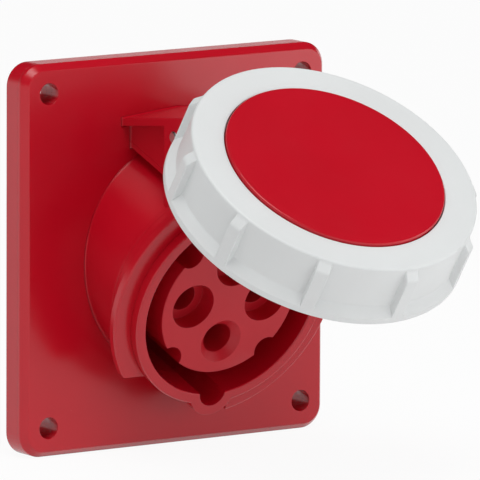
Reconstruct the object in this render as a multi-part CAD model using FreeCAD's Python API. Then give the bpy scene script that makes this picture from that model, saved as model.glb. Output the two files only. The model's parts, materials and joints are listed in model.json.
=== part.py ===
"""Angled industrial panel socket, three phases and earth, with a hinged bayonet lid.

Two frames are used. The part's own frame has its origin at the centre of the
flange's rear face, +Z up, and the socket looks along -Y. The socket frame is
tilted down in it: its x is the part's X, its y points up across the collar and
its z runs out of the socket along its axis. The lid is drawn closed in the
socket frame and then swung open about its pin.
"""
import FreeCAD, Part
import math
import os

V = FreeCAD.Vector

# Working sizes for cuts and joins
MARGIN = 1.0
BEYOND = 200.0

# Flange
FLANGE_W = 92.0
FLANGE_H = 100.0
FLANGE_T = 8.1
FLANGE_CORNER_R = 6.0
FLANGE_SKIN = 3.0
FLANGE_WALL = 2.6
EDGE_ROUND_R = 0.5
EDGE_BEVEL_DEPTH = 1.9
EDGE_BEVEL_WIDTH = 1.5
HOLE_INSET = 7.5
HOLE_R = 2.75
HOLE_BOSS_R = 5.6

# Gasket behind the flange
GASKET_HOLE_OFFSET = 3.0
GASKET_PATH_CORNER_R = 8.0
GASKET_WIDTH = 3.4
GASKET_DEPTH = 2.4
GROOVE_PLAY = 0.3
GROOVE_WALL = 2.0

# Socket axis and collar
TILT_DEG = 20.0
SOCKET_DROP = 1.8
COLLAR_R = 28.1
COLLAR_STEP = 0.5
COLLAR_START = 13.6
COLLAR_WALL = 2.8
RIM_S = 27.0
RIM_BEVEL = 0.25
RIM_EDGE_R = 0.4
GAP_FLOOR_S = -12.0

# Rear skirt that holds the insert
SKIRT_T = 4.4
SEAT_DEPTH = 4.0
SEAT_LEDGE = 1.4
INSERT_SCREW_R = 1.5
INSERT_SCREW_INSET = 0.4
INSERT_SCREW_GRIP = 6.0
INSERT_SCREW_HEAD_R = 2.8
INSERT_SCREW_HEAD_T = 2.0
INSERT_SCREW_RECESS = 1.8
INSERT_BOSS_R = 3.3
INSERT_HEAD_PLAY = 0.3

# Bayonet lugs on the collar
LUG_REACH = 4.9
LUG_DROP = 2.8
LUG_T = 4.2
LUG_END_U = 19.6
LUG_LEFT_TOP_DEG = 120.0
LUG_RIGHT_LOW_DEG = -77.0
LUG_RAMP_DEG = 3.6
LUG_BEVEL = 0.5
LUG_BACK_SLOPE = 2.0

# Keyway at the bottom of the collar
KEY_R = 3.8
KEY_SINK = 0.4
KEY_WALL = 2.65
KEY_WALL_REAR = 1.4

# Contacts
PITCH_R = 10.9
PHASE_PIN_BORE_R = 2.55
EARTH_PIN_BORE_R = 3.55
SLEEVE_WALL = 1.65
EARTH_SLEEVE_WALL = 1.35
PHASE_FRONT_DEPTH = 13.0
EARTH_FRONT_DEPTH = 10.2
SLEEVE_DEPTH = 24.0
SLEEVE_LEAD_IN = 0.5
CONTACT_FLANGE_W = 1.0
CONTACT_FLANGE_T = 1.5
SHANK_R = 3.0
SHANK_TAPER = 2.0
SLEEVE_SLIT = 0.8
SLIT_DEPTH = 13.0
SPRING_RING_T = 0.5
SPRING_RING_H = 2.6
SPRING_RING_BACK = 3.0
SPRING_RING_GAP = 1.2
RING_GROOVE_PLAY = 0.05
FIT_PLAY = 0.1

# Insert face and holes
FACE_DEPTH = 1.4
FACE_R = 19.8
FACE_EDGE_R = 0.3
SCALLOP_R = 3.5
SCALLOP_BITE = 2.5
PHASE_BORE_R = 6.05
PHASE_BORE_DEPTH = 5.3
PHASE_MOUTH_R = 3.65
EARTH_MOUTH_R = 4.0
EARTH_CONE_R = 5.9
EARTH_CONE_DEPTH = 1.9
MOUTH_LIP = 0.2
INSERT_PLATE_T = 3.0
INSERT_PLATE_INSET = 0.2
CORE_HOLE_R = 2.7
CORE_PITCH_R = 12.4
CORE_TOP_DEPTH = 12.6

# Terminals
BASE_R = 23.5
BASE_LENGTH = 14.0
CELL_W = 10.4
CELL_IN_R = 8.4
CELL_FLOOR = 1.6
CAGE_LENGTH = 8.0
CAGE_WALL = 1.2
CAGE_PLAY = 0.4
CAGE_BACK = 2.2
CAGE_OUT_R = 19.7
TONGUE_W = 6.4
TONGUE_T = 1.4
TONGUE_OVERREACH = 0.4
TERMINAL_SCREW_R = 2.0
TERMINAL_SCREW_IN = 2.2
TERMINAL_SCREW_OUT = 2.2
DRIVER_HOLE_R = 2.7
DRIVER_SLOT_W = 0.8
DRIVER_SLOT_DEPTH = 0.9

# Hinge
HINGE_U = 40.35
HINGE_S = 10.0
PIN_R = 1.5
PIN_OVERHANG = 0.4
PIN_BEVEL = 0.3
BARREL_R = 3.7
BARREL_PLAY = 0.06
EAR_PLAY = 0.02
EAR_T = 4.6
CHEEK_T = 2.0
HINGE_PLAY = 0.35
HINGE_SIDE_PLAY = 0.9
ROOF_OVER_PIN = 5.28
ROOF_RISE = 0.119
ROOF_CROWN = 1.75
ROOF_T = 1.95
ROOF_PAST_PIN = 3.9
EAR_BEHIND_PIN = 4.3
EAR_ROUND_R = 2.6
EAR_CHIN_R = 1.0
EAR_FOOT_DEPTH = 8.1
EAR_TOP_SINK = 0.02
BRACKET_FOOT_LIFT = 0.6
BRACKET_FLOOR_T = 1.0
BRACKET_FLOOR_SINK = 0.3
BRACKET_FLOOR_GAP = 2.0
FOOT_FILLET_R = 0.4
CHEEK_LIFT = 0.1

# Lid
OPEN_DEG = 74.9
RING_TOP_OVER_RIM = 7.7
DISC_R = 28.7
DISC_RISE = 0.8
DISC_BEVEL = 0.4
DISC_LIP_T = 2.2
DISC_LIP_W = 0.8
COVER_CLEAR = 1.65
COVER_FLANGE_T = 2.6
COVER_FLOOR_T = 2.4
COVER_LIP_H = 1.0
COVER_COLLAR_T = 1.9
COVER_COLLAR_H = 3.1
GASKET_OVERLAP_IN = 1.4
GASKET_OVERLAP_OUT = 0.9
GASKET_SEAT_PLAY = 0.2
LID_GASKET_T = 1.7
RIM_CLEAR = 0.2
ARM_W = 22.0
ARM_T = 3.4
ARM_TAIL = 1.5
ARM_EDGE_R = 1.0
WEB_DROP = 0.4

# Bayonet ring
RING_PLAY = 0.3
LUG_CLEAR = 2.05
RING_WALL = 2.4
RING_LIP_W = 1.95
RING_LIP_H = 1.8
RING_FLARE_H = 2.7
RING_EDGE_R = 0.6
RING_RIBS = 10
RING_RIB_W = 3.5
RING_RIB_PHASE_DEG = 93.4
RING_RIB_TOP_DROP = 0.7
RING_RIB_SLOPE_H = 2.2
CAM_COLLAR_PLAY = 2.1
CAM_SPAN_DEG = 14.0
CAM_MID_DEG = 235.0
CAM_T = 1.4
CAM_PLAY = 0.35

# Places that follow from the sizes above
HOLE_SPACING_X = FLANGE_W - 2 * HOLE_INSET
HOLE_SPACING_Z = FLANGE_H - 2 * HOLE_INSET
GASKET_PATH_W = HOLE_SPACING_X - 2 * GASKET_HOLE_OFFSET
GASKET_PATH_H = HOLE_SPACING_Z - 2 * GASKET_HOLE_OFFSET
BODY_R = COLLAR_R - COLLAR_STEP
BRACKET_FOOT_U = COLLAR_R + BRACKET_FOOT_LIFT
COLLAR_BORE_R = COLLAR_R - COLLAR_WALL
SKIRT_R = COLLAR_BORE_R + SKIRT_T
INSERT_SCREW_PITCH_R = SKIRT_R - INSERT_SCREW_INSET
KEY_CENTRE_R = COLLAR_BORE_R - KEY_SINK
SCALLOP_PITCH_R = FACE_R + SCALLOP_R - SCALLOP_BITE
SEAT_S = GAP_FLOOR_S - SEAT_DEPTH
SEAT_BORE_R = COLLAR_BORE_R + SEAT_LEDGE
INSERT_REAR_S = SEAT_S - INSERT_PLATE_T
BASE_PLATE_S = INSERT_REAR_S - INSERT_PLATE_T
BASE_REAR_S = BASE_PLATE_S - BASE_LENGTH
FACE_S = RIM_S - FACE_DEPTH
PHASE_FRONT_S = FACE_S - PHASE_FRONT_DEPTH
EARTH_FRONT_S = FACE_S - EARTH_FRONT_DEPTH
CORE_TOP_S = FACE_S - CORE_TOP_DEPTH
CELL_OUT_R = CAGE_OUT_R + CAGE_PLAY
CAGE_IN_R = CELL_IN_R + CAGE_PLAY
CAGE_W = CELL_W - 2 * CAGE_PLAY
CAGE_LOW_S = BASE_REAR_S + CAGE_BACK
CAGE_HIGH_S = CAGE_LOW_S + CAGE_LENGTH
CAGE_MID_S = CAGE_LOW_S + CAGE_LENGTH / 2
LUG_R = COLLAR_R + LUG_REACH
LUG_FRONT_S = RIM_S - LUG_DROP
LUG_BACK_S = LUG_FRONT_S - LUG_T
EAR_INNER_X = ARM_W / 2 + HINGE_SIDE_PLAY
EAR_FACE_X = EAR_INNER_X + EAR_T
CHEEK_FACE_X = EAR_INNER_X + CHEEK_T
EAR_FRONT_S = HINGE_S + ROOF_PAST_PIN
RING_TOP_S = RIM_S + RING_TOP_OVER_RIM
DISC_TOP_S = RING_TOP_S + DISC_RISE
NECK_R = DISC_R - DISC_LIP_W
COVER_UNDER_S = RIM_S + RIM_CLEAR + LID_GASKET_T
COVER_TOP_S = COVER_UNDER_S + COVER_FLANGE_T
GASKET_IN_R = COLLAR_BORE_R - GASKET_OVERLAP_IN
GASKET_OUT_R = COLLAR_R + GASKET_OVERLAP_OUT
ARM_IN_R = GASKET_OUT_R + GASKET_SEAT_PLAY
RING_INNER_R = LUG_R + LUG_CLEAR
COVER_R = RING_INNER_R - COVER_CLEAR
RING_R = RING_INNER_R + RING_WALL
RING_LIP_R = RING_R + RING_LIP_W
RING_LIP_S = LUG_BACK_S - CAM_PLAY - CAM_T
CAM_IN_R = COLLAR_R + CAM_COLLAR_PLAY
PHASES = (("l1", 180.0), ("l2", 90.0), ("l3", 0.0))
EARTH_DEG = 270.0
HALF_QUARTER_DEG = 45.0
CELLS = PHASES + (("earth", EARTH_DEG),)
CORNERS = tuple(degrees + HALF_QUARTER_DEG for name, degrees in CELLS)


def in_socket_frame(shape):
    """Place a shape drawn in the socket frame into the part's frame."""
    turn = FreeCAD.Rotation(V(1, 0, 0), 90.0 + TILT_DEG)
    placed = shape.copy()
    placed.Placement = FreeCAD.Placement(V(0, -FLANGE_T, -SOCKET_DROP), turn).multiply(shape.Placement)
    return placed


def from_socket(u, s):
    """Y and Z in the part's frame of a point at height u and length s in the socket frame."""
    tilt = math.radians(TILT_DEG)
    y = -FLANGE_T - s * math.cos(tilt) - u * math.sin(tilt)
    z = -SOCKET_DROP - s * math.sin(tilt) + u * math.cos(tilt)
    return y, z


def swung_open(shape):
    """Swing a shape that is drawn closed in the socket frame about the pin, then place it."""
    turned = shape.copy()
    turned.rotate(V(0, HINGE_U, HINGE_S), V(1, 0, 0), -OPEN_DEG)
    return in_socket_frame(turned)


def polar(radius, degrees, height=0.0):
    angle = math.radians(degrees)
    return V(radius * math.cos(angle), radius * math.sin(angle), height)


def cylinder(radius, low, high, centre=V(0, 0, 0)):
    return Part.makeCylinder(radius, high - low, V(centre.x, centre.y, low))


def tube(outer, inner, low, high, centre=V(0, 0, 0)):
    hole = cylinder(inner, low - MARGIN, high + MARGIN, centre)
    return cylinder(outer, low, high, centre).cut(hole)


def box(low, high):
    return Part.makeBox(high[0] - low[0], high[1] - low[1], high[2] - low[2], V(*low))


def beside(axis, low, high):
    """All of space between two places along one axis."""
    near = [-BEYOND, -BEYOND, -BEYOND]
    far = [BEYOND, BEYOND, BEYOND]
    near[axis] = low
    far[axis] = high
    return box(near, far)


def sector(radius, low, high, start_deg, end_deg):
    """A slice of a cylinder between two angles."""
    slab = Part.makeCylinder(radius, high - low, V(0, 0, low), V(0, 0, 1), end_deg - start_deg)
    slab.rotate(V(0, 0, 0), V(0, 0, 1), start_deg)
    return slab


def rounded_loop(corners):
    """Join corners (x, y, radius) with straight edges and tangent arcs."""
    arcs = []
    count = len(corners)
    for i in range(count):
        here = V(corners[i][0], corners[i][1], 0)
        before = V(corners[i - 1][0], corners[i - 1][1], 0)
        after = V(corners[(i + 1) % count][0], corners[(i + 1) % count][1], 0)
        radius = corners[i][2]
        back = (before - here).normalize()
        on = (after - here).normalize()
        if radius <= 0:
            arcs.append((here, None, here))
            continue
        half = back.getAngle(on) / 2
        reach = radius / math.tan(half)
        middle_line = (back + on).normalize()
        centre = here + middle_line * (radius / math.sin(half))
        arcs.append((here + back * reach, centre - middle_line * radius, here + on * reach))
    edges = []
    for i in range(count):
        start, middle, end = arcs[i]
        if middle is not None:
            edges.append(Part.Arc(start, middle, end).toShape())
        following = arcs[(i + 1) % count][0]
        if (following - end).Length > 1e-6:
            edges.append(Part.LineSegment(end, following).toShape())
    return Part.Wire(edges)


def turned(corners):
    """Revolve a profile of (radius, s, corner radius) about the socket axis."""
    loop = rounded_loop(corners)
    face = Part.Face(loop)
    face.rotate(V(0, 0, 0), V(1, 0, 0), 90)
    return face.revolve(V(0, 0, 0), V(0, 0, 1), 360)


def round_box_loop(width, height, corner, y):
    """A rounded rectangle in the XZ plane at a given Y."""
    w = width / 2
    h = height / 2
    loop = rounded_loop([(-w, -h, corner), (w, -h, corner), (w, h, corner), (-w, h, corner)])
    loop.rotate(V(0, 0, 0), V(1, 0, 0), 90)
    loop.translate(V(0, y, 0))
    return loop


def round_box(width, height, corner, y_rear, y_front):
    face = Part.Face(round_box_loop(width, height, corner, y_rear))
    return face.extrude(V(0, y_front - y_rear, 0))


def hole_places():
    x = HOLE_SPACING_X / 2
    z = HOLE_SPACING_Z / 2
    return [(-x, -z), (x, -z), (x, z), (-x, z)]


def across_flange(radius, x, z, y_rear, y_front):
    return Part.makeCylinder(radius, y_rear - y_front, V(x, y_rear, z), V(0, -1, 0))


def lies_at(edge, y):
    """True for an edge that runs round the flange at one depth."""
    return all(abs(v.Point.y - y) < 1e-6 for v in edge.Vertexes)


def inside_flange(y_rear, y_front):
    """The room inside the flange's outer wall."""
    return round_box(FLANGE_W - 2 * FLANGE_WALL, FLANGE_H - 2 * FLANGE_WALL,
                     FLANGE_CORNER_R - FLANGE_WALL, y_rear, y_front)


def flange_plate():
    """The plate with its bevelled front edge, hollowed from behind."""
    bevel_y = -FLANGE_T + EDGE_BEVEL_DEPTH
    inset = 2 * EDGE_BEVEL_WIDTH
    loops = [round_box_loop(FLANGE_W, FLANGE_H, FLANGE_CORNER_R, 0),
             round_box_loop(FLANGE_W, FLANGE_H, FLANGE_CORNER_R, bevel_y),
             round_box_loop(FLANGE_W - inset, FLANGE_H - inset,
                            FLANGE_CORNER_R - EDGE_BEVEL_WIDTH, -FLANGE_T)]
    plate = Part.makeLoft(loops, True, True)
    ridges = [e for e in plate.Edges if lies_at(e, -FLANGE_T) or lies_at(e, bevel_y)]
    plate = plate.makeFillet(EDGE_ROUND_R, ridges)
    floor_y = -FLANGE_T + FLANGE_SKIN
    groove = GASKET_WIDTH + 2 * GROOVE_PLAY
    wall = groove + 2 * GROOVE_WALL
    hollow = inside_flange(0, floor_y)
    keep = round_box(GASKET_PATH_W + wall, GASKET_PATH_H + wall,
                     GASKET_PATH_CORNER_R + wall / 2, 0, floor_y)
    for x, z in hole_places():
        keep = keep.fuse(across_flange(HOLE_BOSS_R, x, z, 0, floor_y))
    plate = plate.cut(hollow.cut(keep))
    inner = round_box(GASKET_PATH_W - wall, GASKET_PATH_H - wall,
                      GASKET_PATH_CORNER_R - wall / 2, 0, floor_y)
    plate = plate.cut(inner)
    for x, z in hole_places():
        plate = plate.cut(across_flange(HOLE_R, x, z, 1, -FLANGE_T - 1))
    return plate


def gasket_band(width, depth):
    outer = round_box(GASKET_PATH_W + width, GASKET_PATH_H + width,
                      GASKET_PATH_CORNER_R + width / 2, 0, -depth)
    inner = round_box(GASKET_PATH_W - width, GASKET_PATH_H - width,
                      GASKET_PATH_CORNER_R - width / 2, 0, -depth)
    return outer.cut(inner)


def collar_tube():
    """The tilted body and collar with its rim, still solid inside."""
    return turned([(0, SEAT_S, 0), (BODY_R, SEAT_S, 0), (BODY_R, COLLAR_START, 0),
                   (COLLAR_R, COLLAR_START, COLLAR_STEP / 2), (COLLAR_R, RIM_S, RIM_EDGE_R),
                   (0, RIM_S, 0)])


def collar_bore():
    """What is taken out of the collar: its bore, the keyway and the insert's seat."""
    low = GAP_FLOOR_S - MARGIN
    high = RIM_S + MARGIN
    bore = turned([(0, low, 0), (COLLAR_BORE_R, low, 0), (COLLAR_BORE_R, RIM_S - RIM_BEVEL, 0),
                   (COLLAR_BORE_R + RIM_BEVEL, RIM_S, 0), (COLLAR_BORE_R + RIM_BEVEL, high, 0),
                   (0, high, 0)])
    key = cylinder(KEY_R, GAP_FLOOR_S, high, V(0, -KEY_CENTRE_R, 0))
    seat = cylinder(SEAT_BORE_R, SEAT_S - MARGIN, GAP_FLOOR_S)
    return bore.fuse([key, seat])


def lug_ring():
    inner = BODY_R - MARGIN
    return turned([(inner, LUG_BACK_S, 0), (LUG_R - LUG_BACK_SLOPE, LUG_BACK_S, 0),
                   (LUG_R, LUG_BACK_S + LUG_BACK_SLOPE, 0), (LUG_R, LUG_FRONT_S, LUG_BEVEL),
                   (inner, LUG_FRONT_S, 0)])


def lug_ramp(start_deg):
    """The wedge cut off a lug's back face, so the ring's cam rides up onto it."""
    wedge = box((0, 0, -BEYOND), (BEYOND, BEYOND, 0))
    wedge.rotate(V(0, 0, 0), V(1, 0, 0), LUG_RAMP_DEG)
    wedge.rotate(V(0, 0, 0), V(0, 0, 1), start_deg)
    wedge.translate(V(0, 0, LUG_BACK_S))
    return wedge


def bayonet_lugs():
    """Two lugs beside the collar, each with a square end where the cam enters."""
    low = LUG_BACK_S - MARGIN
    high = LUG_FRONT_S + MARGIN
    left = lug_ring().common(sector(BEYOND, low, high, LUG_LEFT_TOP_DEG, 270.0))
    left = left.common(box((-BEYOND, -LUG_END_U, low), (0, BEYOND, high)))
    left = left.cut(lug_ramp(180.0))
    right = lug_ring().common(sector(BEYOND, low, high, LUG_RIGHT_LOW_DEG, 90.0))
    right = right.common(box((0, -BEYOND, low), (BEYOND, LUG_END_U, high)))
    right = right.cut(lug_ramp(0.0))
    return [left, right]


def key_bumps():
    centre = V(0, -KEY_CENTRE_R, 0)
    front = cylinder(KEY_R + KEY_WALL, LUG_BACK_S, RIM_S, centre)
    rear = cylinder(KEY_R + KEY_WALL_REAR, SEAT_S, LUG_BACK_S + MARGIN, centre)
    return [front, rear]


def screw_centres():
    return [V(side * INSERT_SCREW_PITCH_R, 0, 0) for side in (-1, 1)]


def skirt_outline():
    """The round skirt and its two screw bosses, still solid inside."""
    bosses = [cylinder(INSERT_BOSS_R, SEAT_S, COLLAR_START, centre) for centre in screw_centres()]
    return in_socket_frame(cylinder(SKIRT_R, SEAT_S, COLLAR_START).fuse(bosses))


def rear_skirt():
    """The thicker skirt and two screw bosses that stand behind the flange's skin."""
    return skirt_outline().common(beside(1, -FLANGE_T + FLANGE_SKIN / 2, BEYOND))


def height_over_body(u, y):
    """Height at depth y of the line that runs along the body at distance u from its axis."""
    start_y, start_z = from_socket(u, 0)
    return start_z + (y - start_y) * math.tan(math.radians(TILT_DEG))


def roof_edge_z(y):
    """Height of the roof's side edges, which climb from the flange to the front."""
    pin_y, pin_z = from_socket(HINGE_U, HINGE_S)
    return pin_z + ROOF_OVER_PIN + ROOF_RISE * (pin_y - ROOF_PAST_PIN - y)


def roof_outline(y, lift):
    """The gabled roof's top corners at one Y."""
    edge_z = roof_edge_z(y) + lift
    return [V(-EAR_FACE_X, y, edge_z), V(0, y, edge_z + ROOF_CROWN), V(EAR_FACE_X, y, edge_z)]


def roof_slab(rear_y, front_y):
    sections = []
    for y in (rear_y, front_y):
        top = roof_outline(y, 0)
        under = roof_outline(y, -ROOF_T)
        sections.append(Part.makePolygon(top + [under[2], under[1], under[0], top[0]]))
    return Part.makeLoft(sections, True, True)


def side_wall(x_low, x_high, corners):
    """A plate across X with an outline of (y, z, corner radius)."""
    loop = rounded_loop(corners)
    face = Part.Face(loop)
    face.rotate(V(0, 0, 0), V(0, 0, 1), 90)
    face.rotate(V(0, 0, 0), V(0, 1, 0), 90)
    face.translate(V(x_low, 0, 0))
    return face.extrude(V(x_high - x_low, 0, 0))


def hinge_bracket():
    """Roof, cheeks and ears that carry the pin above the collar."""
    pin_y, pin_z = from_socket(HINGE_U, HINGE_S)
    front_y = pin_y - ROOF_PAST_PIN
    ear_rear_y = pin_y + EAR_BEHIND_PIN
    foot_y, foot_z = from_socket(BODY_R - EAR_FOOT_DEPTH, EAR_FRONT_S)
    chin_z = from_socket(HINGE_U - BARREL_R, EAR_FRONT_S)[1]
    sunk = ROOF_T / 2
    root_y = -FLANGE_T + FLANGE_SKIN / 2
    ear = [(ear_rear_y, foot_z, 0), (ear_rear_y, roof_edge_z(ear_rear_y) - EAR_TOP_SINK, 0),
           (front_y, roof_edge_z(front_y) - EAR_TOP_SINK, EAR_ROUND_R), (front_y, chin_z, EAR_CHIN_R),
           (foot_y, foot_z, 0)]
    cheek_y = ear_rear_y - MARGIN
    cheek_u = BODY_R + CHEEK_LIFT
    cheek = [(root_y, height_over_body(cheek_u, root_y), 0), (root_y, roof_edge_z(root_y) - sunk, 0),
             (cheek_y, roof_edge_z(cheek_y) - sunk, 0), (cheek_y, height_over_body(cheek_u, cheek_y), 0)]
    low_u = BODY_R - BRACKET_FLOOR_SINK
    high_u = low_u + BRACKET_FLOOR_T
    floor_end_s = HINGE_S - ARM_TAIL - BRACKET_FLOOR_GAP
    floor = [(root_y, height_over_body(low_u, root_y), 0), (root_y, height_over_body(high_u, root_y), 0),
             (*from_socket(high_u, floor_end_s), 0), (*from_socket(low_u, floor_end_s), 0)]
    pieces = [side_wall(-CHEEK_FACE_X, CHEEK_FACE_X, floor)]
    for wall, face_x in ((ear, EAR_FACE_X), (cheek, CHEEK_FACE_X)):
        pieces.append(side_wall(EAR_INNER_X, face_x, wall))
        pieces.append(side_wall(-face_x, -EAR_INNER_X, wall))
    high_z = pin_z + BEYOND
    rounded = side_wall(-EAR_FACE_X, EAR_FACE_X,
                        [(0, foot_z, 0), (0, high_z, 0), (ear_rear_y, high_z, 0),
                         (front_y, roof_edge_z(front_y) + ROOF_CROWN, EAR_ROUND_R),
                         (front_y, chin_z, 0), (foot_y, foot_z, 0)])
    roof = roof_slab(root_y, front_y).common(rounded)
    return roof.fuse(pieces)


def along_x(radius, x_low, x_high, y, z):
    return Part.makeCylinder(radius, x_high - x_low, V(x_low, y, z), V(1, 0, 0))


def body_foot(edge):
    """True for an edge where the body or the bracket meets the flange's front."""
    reach = edge.BoundBox
    inside = max(abs(reach.XMin), abs(reach.XMax)) < HOLE_SPACING_X / 2 - HOLE_BOSS_R
    return lies_at(edge, -FLANGE_T) and inside


def flange_housing():
    pin_y, pin_z = from_socket(HINGE_U, HINGE_S)
    body = collar_tube().fuse(key_bumps() + bayonet_lugs())
    housing = flange_plate().fuse([in_socket_frame(body), rear_skirt()])
    inside_body = in_socket_frame(cylinder(BODY_R - COLLAR_WALL / 2, SEAT_S, RIM_S))
    housing = housing.fuse(hinge_bracket().cut(inside_body))
    relief = along_x(BARREL_R + HINGE_PLAY, -EAR_INNER_X, EAR_INNER_X, pin_y, pin_z)
    pin_hole = along_x(PIN_R + EAR_PLAY, -EAR_FACE_X - MARGIN, EAR_FACE_X + MARGIN, pin_y, pin_z)
    groove = gasket_band(GASKET_WIDTH + 2 * GROOVE_PLAY, GASKET_DEPTH + GROOVE_PLAY)
    cuts = [in_socket_frame(collar_bore()), relief, pin_hole, groove]
    for centre in screw_centres():
        depth = SEAT_S + INSERT_SCREW_GRIP + 2 * MARGIN
        cuts.append(in_socket_frame(cylinder(INSERT_SCREW_R + FIT_PLAY, SEAT_S - MARGIN, depth, centre)))
    housing = housing.cut(cuts).removeSplitter()
    return housing.makeFillet(FOOT_FILLET_R, [edge for edge in housing.Edges if body_foot(edge)])


def housing_parts():
    """The housing is one moulding, parted here by planes into shapes that bend round no space."""
    housing = flange_housing()
    front = beside(1, -BEYOND, -FLANGE_T)
    rear = beside(1, -FLANGE_T + FLANGE_SKIN, BEYOND)
    over = in_socket_frame(beside(1, BRACKET_FOOT_U, BEYOND))
    ahead = in_socket_frame(beside(2, EAR_FRONT_S + MARGIN, BEYOND))
    round_collar = tube(BEYOND, COLLAR_R, LUG_BACK_S, LUG_FRONT_S).cut(key_bumps())
    behind = housing.common(rear)
    skirt = behind.common(skirt_outline().fuse([in_socket_frame(bump) for bump in key_bumps()]))
    frame = behind.cut(skirt)
    core = inside_flange(0, -FLANGE_T)
    lugs = housing.common(in_socket_frame(round_collar))
    body = housing.common(front).cut([over, lugs])
    groove_y = -GASKET_DEPTH - GROOVE_PLAY
    band = frame.common(core)
    groove_walls = band.common(beside(1, groove_y, 0))
    path = round_box(GASKET_PATH_W, GASKET_PATH_H, GASKET_PATH_CORNER_R, 0, groove_y)
    return {"flange_plate": housing.cut([front, rear]), "flange_wall": frame.cut(core),
            "flange_frame": band.cut(groove_walls), "groove_wall_in": groove_walls.common(path),
            "groove_wall_out": groove_walls.cut(path), "rear_skirt": skirt,
            "socket_body": body.cut(ahead), "socket_collar": body.common(ahead), "bayonet_lugs": lugs,
            "hinge_bracket": housing.common(front).common(over)}


def plate_with_ears(low, high):
    plate = cylinder(SKIRT_R - INSERT_PLATE_INSET, low, high)
    holes = []
    for centre in screw_centres():
        plate = plate.fuse(cylinder(INSERT_BOSS_R, low, high, centre))
        holes.append(cylinder(INSERT_SCREW_R + FIT_PLAY, low - MARGIN, high + MARGIN, centre))
    return plate.cut(holes)


def mouth_cut(degrees, mouth_r, front_s, sleeve_r):
    """The mouth, the sleeve's room and its flange's room, up from the insert's rear."""
    centre = polar(PITCH_R, degrees)
    seat_s = front_s + MOUTH_LIP
    low = INSERT_REAR_S - MARGIN
    mouth = cylinder(mouth_r, seat_s - MARGIN, FACE_S, centre)
    room = cylinder(sleeve_r + FIT_PLAY, low, seat_s, centre)
    flange = cylinder(sleeve_r + CONTACT_FLANGE_W + FIT_PLAY, low,
                      INSERT_REAR_S + CONTACT_FLANGE_T + FIT_PLAY, centre)
    return mouth.fuse([room, flange])


def contact_carrier():
    """The front insulator: face, scalloped barrel, spigot and rear plate."""
    barrel = turned([(0, INSERT_REAR_S, 0), (FACE_R, INSERT_REAR_S, 0), (FACE_R, FACE_S, FACE_EDGE_R),
                     (0, FACE_S, 0)])
    for degrees in CORNERS:
        centre = polar(SCALLOP_PITCH_R, degrees)
        barrel = barrel.cut(cylinder(SCALLOP_R, GAP_FLOOR_S, FACE_S + MARGIN, centre))
    spigot = cylinder(SEAT_BORE_R - FIT_PLAY, SEAT_S, GAP_FLOOR_S)
    carrier = barrel.fuse([spigot, plate_with_ears(INSERT_REAR_S, SEAT_S)])
    cuts = []
    for name, degrees in PHASES:
        cuts.append(mouth_cut(degrees, PHASE_MOUTH_R, PHASE_FRONT_S, PHASE_PIN_BORE_R + SLEEVE_WALL))
        counterbore_s = FACE_S - PHASE_BORE_DEPTH
        cuts.append(cylinder(PHASE_BORE_R, counterbore_s, FACE_S + MARGIN, polar(PITCH_R, degrees)))
    cuts.append(mouth_cut(EARTH_DEG, EARTH_MOUTH_R, EARTH_FRONT_S, EARTH_PIN_BORE_R + EARTH_SLEEVE_WALL))
    cone_foot = polar(PITCH_R, EARTH_DEG, FACE_S - EARTH_CONE_DEPTH)
    cuts.append(Part.makeCone(EARTH_MOUTH_R, EARTH_CONE_R, EARTH_CONE_DEPTH, cone_foot))
    for degrees in CORNERS:
        cuts.append(cylinder(CORE_HOLE_R, INSERT_REAR_S - MARGIN, CORE_TOP_S, polar(CORE_PITCH_R, degrees)))
    return carrier.cut(cuts).removeSplitter()


def quarters(prefix, shape):
    """A shape in four, each round one contact's axis."""
    parts = {}
    for name, degrees in CELLS:
        around = sector(BEYOND, -BEYOND, BEYOND, degrees - HALF_QUARTER_DEG, degrees + HALF_QUARTER_DEG)
        parts[prefix + name] = shape.common(around)
    return parts


def carrier_parts():
    """The front insulator is one moulding, parted here into quarters of its barrel and its plate."""
    carrier = contact_carrier()
    rear = beside(2, -BEYOND, GAP_FLOOR_S)
    return {**quarters("carrier_", carrier.cut(rear)), **quarters("carrier_plate_", carrier.common(rear))}


def at_cell(shape, degrees):
    """Turn a shape drawn for the cell at angle 0 to its own angle."""
    turned_shape = shape.copy()
    turned_shape.rotate(V(0, 0, 0), V(0, 0, 1), degrees)
    return turned_shape


def terminal_base():
    """The rear insulator with one open cell for each terminal."""
    cell_floor_s = BASE_PLATE_S - CELL_FLOOR
    body = cylinder(BASE_R, BASE_REAR_S, BASE_PLATE_S).fuse(plate_with_ears(BASE_PLATE_S, INSERT_REAR_S))
    half_t = TONGUE_T / 2 + FIT_PLAY
    half_w = TONGUE_W / 2 + FIT_PLAY
    cuts = []
    for name, degrees in CELLS:
        cell = box((CELL_IN_R, -CELL_W / 2, BASE_REAR_S - MARGIN), (CELL_OUT_R, CELL_W / 2, cell_floor_s))
        slot = box((PITCH_R - half_t, -half_w, cell_floor_s - MARGIN),
                   (PITCH_R + half_t, half_w, INSERT_REAR_S + MARGIN))
        wall_foot = V(CELL_OUT_R - MARGIN, 0, CAGE_MID_S)
        access = Part.makeCylinder(DRIVER_HOLE_R, BASE_R, wall_foot, V(1, 0, 0))
        cuts.append(at_cell(cell.fuse([slot, access]), degrees))
    head_room = INSERT_SCREW_HEAD_R + INSERT_HEAD_PLAY
    for centre in screw_centres():
        cuts.append(cylinder(head_room, BASE_REAR_S - MARGIN, BASE_PLATE_S, centre))
    return body.cut(cuts).removeSplitter()


def base_parts():
    """The rear insulator is one moulding, parted here into its plate and its four cells."""
    base = terminal_base()
    plate = beside(2, BASE_PLATE_S, BEYOND)
    parts = quarters("base_", base.cut(plate))
    parts["base_plate"] = base.common(plate)
    return parts


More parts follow.
